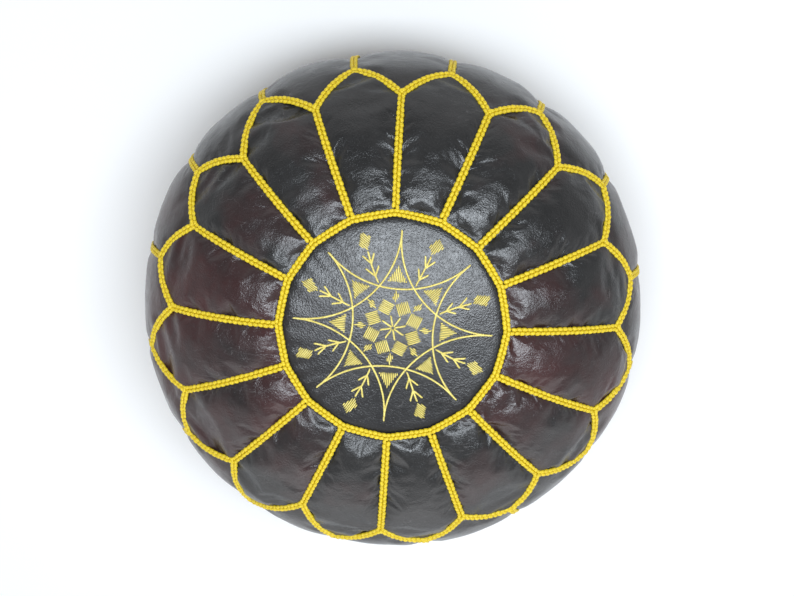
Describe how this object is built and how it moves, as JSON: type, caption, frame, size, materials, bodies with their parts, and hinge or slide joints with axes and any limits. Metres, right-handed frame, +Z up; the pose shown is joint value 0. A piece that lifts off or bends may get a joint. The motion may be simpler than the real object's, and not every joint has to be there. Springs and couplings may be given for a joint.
{
  "type": "leather pouf",
  "caption": "Round stuffed leather pouf with a scalloped petal top, braided seam trim, an embroidered star medallion, side panels and a zipped base.",
  "frame": {"origin": "on the floor, under the middle of the pouf", "axes": "+Z up along the pouf's axis, +X along the zip towards its closed end, +Y across the zip"},
  "size_m": [0.5402, 0.5402, 0.3063],
  "materials": {
    "wadding": "matte",
    "medallion_leather": "satin",
    "petal_leather": "satin",
    "side_leather": "satin",
    "base_leather": "satin",
    "braid_silk": "satin",
    "embroidery_silk": "satin",
    "zip_tape": "matte",
    "zip_coil": "satin",
    "zip_metal": "satin"
  },
  "bodies": {
    "pouf": {"stuffing": "wadding", "top_medallion": "medallion_leather", "top_petal_01": "petal_leather", "top_petal_02": "petal_leather", "top_petal_03": "petal_leather", "top_petal_04": "petal_leather", "top_petal_05": "petal_leather", "top_petal_06": "petal_leather", "top_petal_07": "petal_leather", "top_petal_08": "petal_leather", "top_petal_09": "petal_leather", "top_petal_10": "petal_leather", "top_petal_11": "petal_leather", "top_petal_12": "petal_leather", "top_petal_13": "petal_leather", "top_petal_14": "petal_leather", "top_petal_15": "petal_leather", "top_petal_16": "petal_leather", "side_panel_01": "side_leather", "side_panel_02": "side_leather", "side_panel_03": "side_leather", "side_panel_04": "side_leather", "side_panel_05": "side_leather", "side_panel_06": "side_leather", "side_panel_07": "side_leather", "side_panel_08": "side_leather", "side_panel_09": "side_leather", "side_panel_10": "side_leather", "side_panel_11": "side_leather", "side_panel_12": "side_leather", "side_panel_13": "side_leather", "side_panel_14": "side_leather", "side_panel_15": "side_leather", "side_panel_16": "side_leather", "ring_braid": "braid_silk", "radial_braids": "braid_silk", "scallop_braids": "braid_silk", "side_braids": "braid_silk", "embroidery_star": "embroidery_silk", "embroidery_sprigs": "embroidery_silk", "embroidery_lozenges": "embroidery_silk", "embroidery_triangles": "embroidery_silk", "embroidery_rosette": "embroidery_silk", "base_half_left": "base_leather", "base_half_right": "base_leather", "zip_tape_left": "zip_tape", "zip_tape_right": "zip_tape", "zip_coil_left": "zip_coil", "zip_coil_right": "zip_coil", "zip_stop_open": "zip_metal", "zip_stop_closed": "zip_metal"},
    "slider": {"zip_slider": "zip_metal"},
    "pull": {"zip_pull": "zip_metal"}
  },
  "joints": [
    {"name": "zip_slide", "type": "slide", "parent": "pouf", "child": "slider", "axis": [-1, 0, 0], "range_m": [0, 0.24]},
    {"name": "pull_swing", "type": "hinge", "parent": "slider", "child": "pull", "pos_m": [0.129, 0, 0.00155], "axis": [0, -1, 0], "range_deg": [0, 180]}
  ]
}
